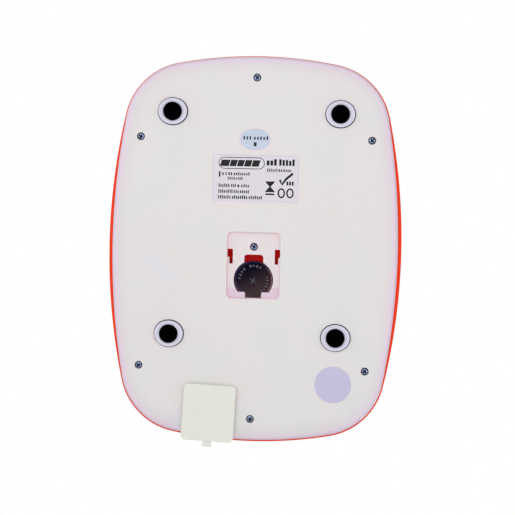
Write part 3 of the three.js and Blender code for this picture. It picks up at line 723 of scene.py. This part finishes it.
def top_shell():
    bulge = [(9.7, -0.25), (9.78, -0.16), (10.2, -0.09), (10.8, -0.04), (11.4, -0.01)]
    shoulder = [(RIM_TOP + (PLATFORM - RIM_TOP) * math.sin(t), -SHOULDER * (1 - math.cos(t)))
                for t in quarter(18)]
    shell = tower("top_shell_visual", casing(SHELL_FORM), bulge + shoulder)
    inside = tower("inside", casing(SHELL_FORM), [(8.7, -WALL), (12.4, -WALL), (14.4, -4), (CEILING, -8)])
    combine(shell, "DIFFERENCE", [inside])
    root = CEILING + 0.5
    bosses = [turned("boss", x, y, [(BOSS, 7.9), (BOSS, root)], 32) for x, y in SCREWS.values()]
    bosses.append(turned("boss", *POCKET_SCREW, [(BOSS, 10.3), (BOSS, root)], 32))
    bosses += [turned("boss", x, y, [(BOARD_BOSS, 11.9), (BOARD_BOSS, root)], 24)
               for x, y in BOARD_SCREWS.values()]
    combine(shell, "UNION", bosses)
    holes = [turned("hole", x, y, [(BOSS_HOLE, 7), (BOSS_HOLE, 14.3)], 20)
             for x, y in (*SCREWS.values(), POCKET_SCREW)]
    holes += [turned("hole", x, y, [(BOARD_BOSS_HOLE, 11), (BOARD_BOSS_HOLE, 14.6)], 16)
              for x, y in BOARD_SCREWS.values()]
    combine(shell, "DIFFERENCE", [joined("holes", holes)])
    lens_seat = tower("seat", display_outline(25.3, 11.8, 4, 8),
                      [(PLATFORM - 1, 0), (PLATFORM - 0.15, 0), (PLATFORM, 0.15), (PLATFORM + 1, 0.15)])
    opening = tower("opening", display_outline(22, 8.5, 2.5), [(14, 0), (19, 0)])
    combine(shell, "DIFFERENCE", [lens_seat])
    combine(shell, "DIFFERENCE", [opening])
    for x in (-BUTTON_X, BUTTON_X):
        mouth = [(14, 0), (PLATFORM - 0.2, 0), (PLATFORM - 0.06, 0.06), (PLATFORM, 0.2), (PLATFORM + 1, 0.2)]
        combine(shell, "DIFFERENCE", [tower("keyway", oval(x, DISPLAY_Y, 7, 4.6), mouth)])
    return settle(shell, "casing", MATERIALS["orange_plastic"], ["top_shell"])


# ---------------------------------------------------------------- screws


def screw_mesh(face, tip, radius, shank):
    """A pan-head screw, head down, with a tapered cross recess."""
    dome, head = 0.35, 1.4
    profile = [(0.25 * radius, face), (0.55 * radius, face + 0.04), (0.8 * radius, face + 0.14),
               (0.94 * radius, face + dome), (radius, face + dome + 0.25), (radius, face + head),
               (shank, face + head), (shank, tip - 0.6), (shank * 0.4, tip)]
    body = turned("screw", 0, 0, profile, 40)
    for turn in (0, 90):
        wide, narrow = radius * 0.66, radius * 0.34
        c, s = math.cos(math.radians(turn)), math.sin(math.radians(turn))
        rings = []
        for z, reach, half in ((face - 1, wide, 0.38), (face, wide, 0.38), (face + 1, narrow, 0.22)):
            flat = rectangle(-reach, -half, reach, half, 0.12, 2)()
            rings.append([(x * c - y * s, x * s + y * c, z) for x, y in flat])
        combine(body, "DIFFERENCE", [body_through("cross", rings)])
    return body


def place_screws():
    rng = random.Random(7)
    groups = [
        (UNDERSIDE + 0.1, SCREW_HEAD, 1.1, {f"casing_screw_{name}": spot for name, spot in SCREWS.items()}),
        (POCKET_FLOOR + 0.1, SCREW_HEAD, 1.1, {"pocket_screw": POCKET_SCREW}),
        (8.4, 1.7, 0.8, {f"board_screw_{name}": spot for name, spot in BOARD_SCREWS.items()}),
    ]
    for face, radius, shank, spots in groups:
        master = screw_mesh(face, SCREW_TIP, radius, shank)
        for node, (x, y) in spots.items():
            copy = bpy.data.objects.new(node + "_visual", master.data.copy())
            bpy.context.scene.collection.objects.link(copy)
            put_down(copy, x, y, 0, rng.uniform(20, 70))
            settle(copy, "casing", MATERIALS["screw_steel"], [node], 30)
        bpy.data.objects.remove(master)


# ---------------------------------------------------------------- feet


def foot(name, x, y):
    """An oval cup with a flange inside the base, and the round pad in its recess."""
    rx, ry = CUP
    seat, flange = 4.92, 1.5
    profile = [
        (2.85, seat, seat), (2.1, seat, seat), (2.02, 5, 5), (2, 5.2, 5.15), (1.97, 5.8, 5.6),
        (1.92, rx - 1, ry - 0.8), (1.9, rx - 0.6, ry - 0.5), (1.92, rx - 0.3, ry - 0.26),
        (2, rx - 0.1, ry - 0.1), (2.16, rx, ry), (6.4, rx, ry),
        (6.4, rx + flange - 0.1, ry + flange - 0.1), (6.5, rx + flange, ry + flange),
        (7.1, rx + flange, ry + flange), (7.2, rx + flange - 0.1, ry + flange - 0.1),
    ]
    cup = stacked_ovals(f"foot_cup_{name}_visual", x, y, profile, 72)
    settle(cup, f"foot_{name}", MATERIALS["foot_plastic"], [f"foot_cup_{name}"])
    pad_profile = [(1.2, 0.18), (1.7, 0.06), (2.2, 0), (4.25, 0),
                   (4.5, 0.06), (4.64, 0.2), (4.7, 0.45), (4.7, 2.7)]
    pad = turned(f"rubber_pad_{name}_visual", x, y, pad_profile)
    settle(pad, f"foot_{name}", MATERIALS["rubber"], [f"rubber_pad_{name}"])


# ---------------------------------------------------------------- battery


def coin_cell():
    can = [(9.3, 8.1), (9.55, 8.13), (9.8, 8.25), (9.95, 8.45), (10, 8.75),
           (10, 10.6), (9.9, 10.85), (9.6, 10.95)]
    inner_cap = [(8.6, 10.95), (8.55, 10.85), (8.3, 10.85), (8.2, 10.95), (8.2, 11.2), (8.1, 11.3)]
    cell = turned("coin_cell_visual", 0, CELL_Y, can + inner_cap, 96)
    settle(cell, "cell", MATERIALS["cell_steel"], ["coin_cell"], 28)
    marks = []
    for k in (0, 1, 2, 3, 5, 6, 7, 8):  # two words of four marks
        marks.append(rim_mark(118 - 14 * k, 1.0, 1.5 if k % 2 else 1.1))
    for turn in (28, 118):
        marks.append(turned_bar(0.2, CELL_Y - 0.5, 0.5, 3.4, math.radians(turn)))
    for k in range(6):
        marks.append(rim_mark(168 + 13 * k, 0.7, 1.2))
    settle(joined("coin_cell_marks", marks), "cell", CELL_MARKS, (), 28)


def rim_mark(turn, width, length):
    """A plain bar near the cell's rim, in place of a stamped letter."""
    a, reach = math.radians(turn), 7.4
    return turned_bar(reach * math.cos(a), CELL_Y + reach * math.sin(a), width, length, a)


def turned_bar(cx, cy, width, length, angle):
    """A small rounded bar under the cell, its length along the given direction."""
    low, high = 8.04, 8.16
    c, s = math.cos(angle), math.sin(angle)
    rings = []
    for z, offset in ((low, -0.06), (low + 0.04, 0), (high, 0)):
        flat = rectangle(-length / 2, -width / 2, length / 2, width / 2, 0.15, 3)(offset)
        rings.append([(cx + x * c - y * s, cy + x * s + y * c, z) for x, y in flat])
    return body_through("mark", rings)


def battery_cover():
    """Plate, tongue and two side hooks, lying as they were put down."""
    half_x, half_y = 13.7, 14.8
    plate = tower("battery_cover_visual", rectangle(-half_x, -half_y, half_x, half_y, 2.3, 10),
                  rounded_levels(0, 1.6, 0.35, 0.15))
    edge = [(-2.3, 1, 0.1), (-2.3, -1.6, 0.3), (-2.6, -2.2, 0.2), (-2.6, -3, 0.25)]
    edge += [(-x, y, radius) for x, y, radius in reversed(edge)]
    tongue = outline_of([(x, -half_y + y, radius) for x, y, radius in edge], 3)
    parts = [tower("tongue", tongue, rounded_levels(1.1, 2.2, 0.15, 0.15, 2))]
    hook_rear, hook_front, hook_inside = 6.45, 3.35, 12.1
    for side in (-1, 1):
        for name, reach, levels in (("stem", 13.2, [(1.4, 0), (3.3, 0)]),
                                    ("toe", 13.4, [(2.7, 0), (3.2, 0), (3.3, -0.1)])):
            x0, x1 = sorted((side * hook_inside, side * reach))
            parts.append(tower(name, rectangle(x0, hook_front, x1, hook_rear, 0.2, 3), levels))
    for k in range(5):
        x = -11 + k * 5.5
        rib = rectangle(x - 0.4, -11, x + 0.4, 11, 0.2, 2)
        parts.append(tower("rib", rib, rounded_levels(1.5, 1.95, 0, 0.1, 1)))
    combine(plate, "UNION", parts)
    put_down(plate, 21.65, -85.5, 0.15, 2.5)
    return settle(plate, "loose_cover", MATERIALS["cover_plastic"], ["battery_cover"])


# ---------------------------------------------------------------- stickers

STICKER_LOW = 3.83
INK_LOW, INK_HIGH = STICKER_LOW - 0.02, STICKER_LOW + 0.05


def sticker(name, at, slot, node):
    """A thin film on the underside, its face a little rounded at the edge."""
    levels = [(STICKER_LOW, -0.06), (STICKER_LOW + 0.06, 0), (UNDERSIDE + 0.02, 0)]
    return settle(tower(name, at, levels), "casing", MATERIALS[slot], [node], 50)


def ink(name, shapes, material=PRINT):
    """Thin solid print on a sticker's face."""
    parts = [tower("ink", at, [(INK_LOW, 0), (INK_HIGH, 0)]) for at in shapes]
    return settle(joined(name, parts), "casing", material, (), 50)


def ink_line(name, at, width, material=PRINT, inset=0.0):
    """A thin line along an outline, for print and for painted edge shade."""
    return settle(hoop(name, at, width, INK_LOW, INK_HIGH, inset), "casing", material, (), 50)


def words(left, y, height, lengths, gap, slant):
    """Plain blocks in place of a line of text, read from below, where +x is on the left."""
    shapes, x = [], left
    low, high = y - height / 2, y + height / 2
    for length in lengths:
        corners = [(x - length, low), (x, low), (x - slant, high), (x - length - slant, high)]
        shapes.append(outline_of([(*corner, 0.12) for corner in corners], 2))
        x -= length + gap
    return shapes


def text_row(rng, left, y, height, lengths, gap, stroke=0.62, space=0.4):
    """Words made of small plain bars of uneven height, which say nothing."""
    bars, x = [], left
    low = y - height / 2
    for length in lengths:
        count = max(1, round((length + space) / (stroke + space)))
        pitch = (length + space) / count
        for k in range(count):
            tall = height * rng.choice((1.0, 0.78, 0.78, 0.9))
            right = x - k * pitch
            bars.append(rectangle(right - pitch + space, low, right, low + tall, 0.1, 2))
        x -= length + gap
    return bars


def band(points, width):
    """A thin closed band along a line of points, as an outline."""
    left, right = [], []
    for k, (x, y) in enumerate(points):
        ahead, behind = points[min(k + 1, len(points) - 1)], points[max(k - 1, 0)]
        d = Vector((ahead[0] - behind[0], ahead[1] - behind[1])).normalized()
        left.append((x - d.y * width / 2, y + d.x * width / 2))
        right.append((x + d.y * width / 2, y - d.x * width / 2))
    loop = right + list(reversed(left))
    return lambda offset=0.0: loop


def stickers():
    rng = random.Random(11)
    label = rectangle(-22.5, 25.3, 22.3, 49.5, 0.5)
    seal = oval(0.4, 57.6, 7.9, 5.6)
    blank = oval(-42.9, -69.2, 9.65)
    sticker("inspection_sticker_visual", seal, "oval_paper", "inspection_sticker")
    sticker("rating_label_visual", label, "label_paper", "rating_label")
    sticker("round_sticker_visual", blank, "round_paper", "round_sticker")
    # painted shade along the sticker edges
    ink_line("label_edge_shade", label, 0.26, PAINTED_STICKER_EDGE_SHADE, -0.14)
    ink_line("seal_edge_shade", seal, 0.2, PAINTED_STICKER_EDGE_SHADE, -0.1)
    ink_line("blank_edge_shade", blank, 0.2, PAINTED_STICKER_EDGE_SHADE, -0.1)

    lines = text_row(rng, 6.5, 58.4, 1.9, [4.0, 7.3], 1.5, 0.75, 0.8)
    lines += text_row(rng, 1.1, 55.2, 2.3, [1.5], 1, 1.5)
    ink("inspection_print", lines, GREY_PRINT)
    ink_line("label_frame", rectangle(-4.7, 42.3, 19.0, 48.05, 2.85, 8), 0.36)
    bold = words(18.5, 45.15, 3.3, [4.6, 3.4, 3.3, 3.5, 3.8], 0.4, 1.0)
    bold += text_row(rng, -5.9, 45.9, 3.3, [5.2, 8.0], 1.3, 1.25, 0.5)
    ink("label_bold_print", bold)
    lines = text_row(rng, -6.1, 41.8, 1.6, [5.4, 1.9, 3.9], 0.6)
    lines += text_row(rng, 17.2, 39.6, 1.6, [0.8, 0.6, 2.0, 8.2], 0.9)
    lines += text_row(rng, 14.3, 37.2, 1.5, [2.6, 1.6, 2.6], 0.5)
    ink("label_fine_print", lines, FAINT_PRINT)
    lines = text_row(rng, 19.0, 33.5, 1.8, [5.6, 2.5, 0.9, 4.2], 0.9)
    lines += text_row(rng, 19.0, 30.45, 1.8, [7.4, 2.5, 4.7], 0.65)
    lines += text_row(rng, 19.1, 27.5, 1.9, [6.4, 8.0, 6.8], 0.8)
    ink("label_address_print", lines, GREY_PRINT)
    marks = [
        rectangle(18.1, 37.9, 18.95, 40.8, 0.2),
        rectangle(-10.2, 28.9, -5.5, 29.75, 0.15),
        outline_of([(-10.6, 30.4, 0.2), (-5.1, 30.4, 0.2), (-7.85, 33.5, 0.2)], 2),
        outline_of([(-7.85, 32.9, 0.2), (-5.1, 36.0, 0.2), (-10.6, 36.0, 0.2)], 2),
        band([(-12.9, 36.9), (-14.1, 34.5), (-16.1, 37.3), (-19.6, 40.3)], 1.2),
    ]
    marks += text_row(rng, -16.4, 35.1, 2.0, [3.7], 1, 0.8, 0.45)
    ink("label_icons", marks)
    for name, x in (("left", -13.8), ("right", -18.3)):
        ink_line(f"label_ring_{name}", oval(x, 30.0, 1.55, 2.2), 0.8)


# ---------------------------------------------------------------- display and buttons


def display():
    """The window, the dark border printed under it with a skirt round the glass, and the digits."""
    lens = tower("display_window_visual", display_outline(25, 11.5, 3.7, 8),
                 rounded_levels(PLATFORM - 0.9, PLATFORM, 0, 0.2))
    settle(lens, "casing", MATERIALS["window"], ["display_window"])
    border_low, skirt_top, border_high = 16.52, 16.54, 16.57
    border = tower("display_border", display_outline(24.6, 11.1, 3.4, 8), [(border_low, 0), (border_high, 0)])
    skirt = tower("skirt", display_outline(21.9, 8.4, 2.4), [(CEILING + 0.05, 0), (skirt_top, 0)])
    combine(border, "UNION", [skirt])
    combine(border, "DIFFERENCE", [tower("pane", display_outline(20.8, 8.1, 1.8), [(15, 0), (17, 0)])])
    settle(border, "casing", MATERIALS["dark_plastic"], (), 50)
    digits()


def digits():
    """Four zeros and a point: six of the seven segments of each digit."""
    size, stroke = 4.4, 0.75
    reach = size / 2 - 0.45
    levels = [(14.98, 0), (15.04, 0)]
    flat, upright = (reach, stroke / 2), (stroke / 2, reach)
    segments = []
    for digit_x in (-13.5, -4.5, 4.5, 13.5):
        for dx, dy, half in ((0, 1, flat), (0, -1, flat), (-0.5, 0.5, upright), (0.5, 0.5, upright),
                             (-0.5, -0.5, upright), (0.5, -0.5, upright)):
            x, y = digit_x + dx * size, DISPLAY_Y + dy * size
            bar = rectangle(x - half[0], y - half[1], x + half[0], y + half[1], 0.3, 2)
            segments.append(tower("segment", bar, levels))
    segments.append(turned("point", 9, DISPLAY_Y - size, [(0.5, z) for z, _ in levels], 16))
    settle(joined("display_digits", segments), "casing", DIGIT, (), 50)


def buttons():
    """Two dished oval caps, a ring on one and two arrowheads on the other."""
    profile = [(14, 8, 5.6), (14.9, 8, 5.6), (14.9, 6.7, 4.3), (17.45, 6.7, 4.3), (17.68, 6.62, 4.22),
               (17.82, 6.4, 4.0), (17.88, 5.9, 3.6), (17.82, 5.0, 2.9), (17.78, 3.4, 1.9), (17.76, 1.6, 0.9)]
    for name, x in (("zero", BUTTON_X), ("unit", -BUTTON_X)):
        cap = stacked_ovals(f"{name}_button_visual", x, DISPLAY_Y, profile)
        settle(cap, f"{name}_key", MATERIALS["button_plastic"], [f"{name}_button"])
    icon_low, icon_high = 17.7, 17.84
    ring = hoop("zero_button_icon", oval(BUTTON_X, DISPLAY_Y, 1.25, sides=40), 0.6, icon_low, icon_high)
    settle(ring, "zero_key", GREY_PRINT, (), 50)
    arrows = []
    for side in (-1, 1):
        tip, tail = -BUTTON_X + side * 2.0, -BUTTON_X + side * 0.8
        corners = [(tip, DISPLAY_Y), (tail, DISPLAY_Y + side * 1.1), (tail, DISPLAY_Y - side * 1.1)]
        arrow = outline_of([(*corner, 0.15) for corner in corners], 2)
        arrows.append(tower("arrow", arrow, [(icon_low, 0), (icon_high, 0)]))
    settle(joined("unit_button_icon", arrows), "unit_key", GREY_PRINT, (), 50)


base_cover()
top_shell()
place_screws()
for foot_name, spot in FEET.items():
    foot(foot_name, *spot)
coin_cell()
battery_cover()
stickers()
display()
buttons()

# ---------------------------------------------------------------- camera, floor and light

aim = scene_point(-1.6, -4.1, 12)
stand = aim + Vector((-54, 38, -797)) * MM  # the camera looks up from about 0.8 m below
back = (stand - aim).normalized()
roll = math.radians(1.25)
up = Vector((math.sin(roll), math.cos(roll), 0))
right = up.cross(back).normalized()
up = back.cross(right)
camera_data = bpy.data.cameras.new("camera")
camera_data.lens = 106.25
camera_data.sensor_width = 36
camera = bpy.data.objects.new("camera", camera_data)
camera.matrix_world = Matrix((
    (right.x, up.x, back.x, stand.x),
    (right.y, up.y, back.y, stand.y),
    (right.z, up.z, back.z, stand.z),
    (0, 0, 0, 1),
))
bpy.context.scene.collection.objects.link(camera)
bpy.context.scene.camera = camera


def floor():
    """A pale floor that is seen, and catches shadows, only from above."""
    reach, below = 2.5, -0.05 * MM
    corners = [(-reach, -reach, below), (reach, -reach, below), (reach, reach, below), (-reach, reach, below)]
    obj = mesh_object("floor", corners, [(0, 1, 2, 3)])
    material = bpy.data.materials.new("floor")
    material.use_nodes = True
    tree = material.node_tree
    shader = tree.nodes["Principled BSDF"]
    shader.inputs["Base Color"].default_value = gray(0.4)
    shader.inputs["Roughness"].default_value = 0.9
    side = tree.nodes.new("ShaderNodeNewGeometry")
    clear = tree.nodes.new("ShaderNodeBsdfTransparent")
    choose = tree.nodes.new("ShaderNodeMixShader")
    shader.inputs["Emission Color"].default_value = gray(1)
    shader.inputs["Emission Strength"].default_value = 0.55
    tree.links.new(side.outputs["Backfacing"], choose.inputs[0])
    tree.links.new(shader.outputs[0], choose.inputs[1])
    tree.links.new(clear.outputs[0], choose.inputs[2])
    tree.links.new(choose.outputs[0], tree.nodes["Material Output"].inputs["Surface"])
    obj.data.materials.append(material)
    obj.visible_diffuse = False
    obj.visible_glossy = False
    obj.visible_transmission = False
    obj.visible_shadow = False


def light(name, position, size, power):
    """A soft square lamp that faces the object."""
    lamp = bpy.data.lights.new(name, "AREA")
    lamp.size = size
    lamp.energy = power
    obj = bpy.data.objects.new(name, lamp)
    obj.location = position
    obj.rotation_euler = (-Vector(position)).to_track_quat("-Z", "Y").to_euler()
    obj.visible_camera = False
    bpy.context.scene.collection.objects.link(obj)


def inner_glow():
    """Stands in for the light that filters through the shell and bounces about inside it."""
    lamp = bpy.data.lights.new("inner_glow", "AREA")
    lamp.shape = "RECTANGLE"
    lamp.size, lamp.size_y = 26 * MM, 8 * MM
    lamp.energy = 0.00055
    lamp.color = (1, 0.08, 0.02)
    obj = bpy.data.objects.new("inner_glow", lamp)
    obj.location = scene_point(0, 4, 9)
    obj.rotation_euler = (math.pi, 0, 0)
    obj.visible_camera = False
    bpy.context.scene.collection.objects.link(obj)


def sky():
    """White to the eye; to everything else grey, and dark straight below."""
    world = bpy.data.worlds.new("studio")
    world.use_nodes = True
    tree = world.node_tree
    background = tree.nodes["Background"]
    place = tree.nodes.new("ShaderNodeTexCoord")
    split = tree.nodes.new("ShaderNodeSeparateXYZ")
    ramp = tree.nodes.new("ShaderNodeValToRGB")
    path = tree.nodes.new("ShaderNodeLightPath")
    mix = tree.nodes.new("ShaderNodeMix")
    mix.data_type = "RGBA"
    span = tree.nodes.new("ShaderNodeMapRange")
    span.inputs["From Min"].default_value = -1
    span.inputs["From Max"].default_value = 1
    elements = ramp.color_ramp.elements
    elements[0].position, elements[0].color = 0.0, (0.02, 0.02, 0.03, 1)
    elements[1].position, elements[1].color = 1.0, gray(0.4)
    for position, value in ((0.06, 0.03), (0.2, 0.55), (0.5, 0.68)):
        element = elements.new(position)
        element.color = gray(value)
    tree.links.new(place.outputs["Generated"], split.inputs[0])
    tree.links.new(split.outputs["Z"], span.inputs["Value"])
    tree.links.new(span.outputs["Result"], ramp.inputs["Fac"])
    tree.links.new(path.outputs["Is Camera Ray"], mix.inputs[0])
    tree.links.new(ramp.outputs["Color"], mix.inputs[6])
    mix.inputs[7].default_value = gray(1)
    tree.links.new(mix.outputs[2], background.inputs["Color"])
    bpy.context.scene.world = world


RING_COUNT, RING_RADIUS, RING_DEPTH, RING_POWER = 6, 0.36, 0.85, 0.85
REAR_BIAS = 0.4  # the ring is stronger on its rear side by this share, so shadows fall to the front

floor()
sky()
inner_glow()
for k in range(RING_COUNT):
    a = math.radians(360 / RING_COUNT * k + 15)
    spot = (RING_RADIUS * math.cos(a), RING_RADIUS * math.sin(a), -RING_DEPTH)
    light(f"below_ring_{k}", spot, 0.4, RING_POWER * (1 + REAR_BIAS * math.sin(a)))
light("below_left", (0.75, 0.2, -0.35), 0.5, 0.5)
light("below_right", (-0.75, -0.1, -0.35), 0.5, 0.5)
light("above_key", (-0.55, -0.5, 0.9), 0.5, 3.6)
light("above_fill", (0.75, 0.2, 0.55), 0.7, 1.2)
bpy.context.scene.view_settings.view_transform = "Standard"
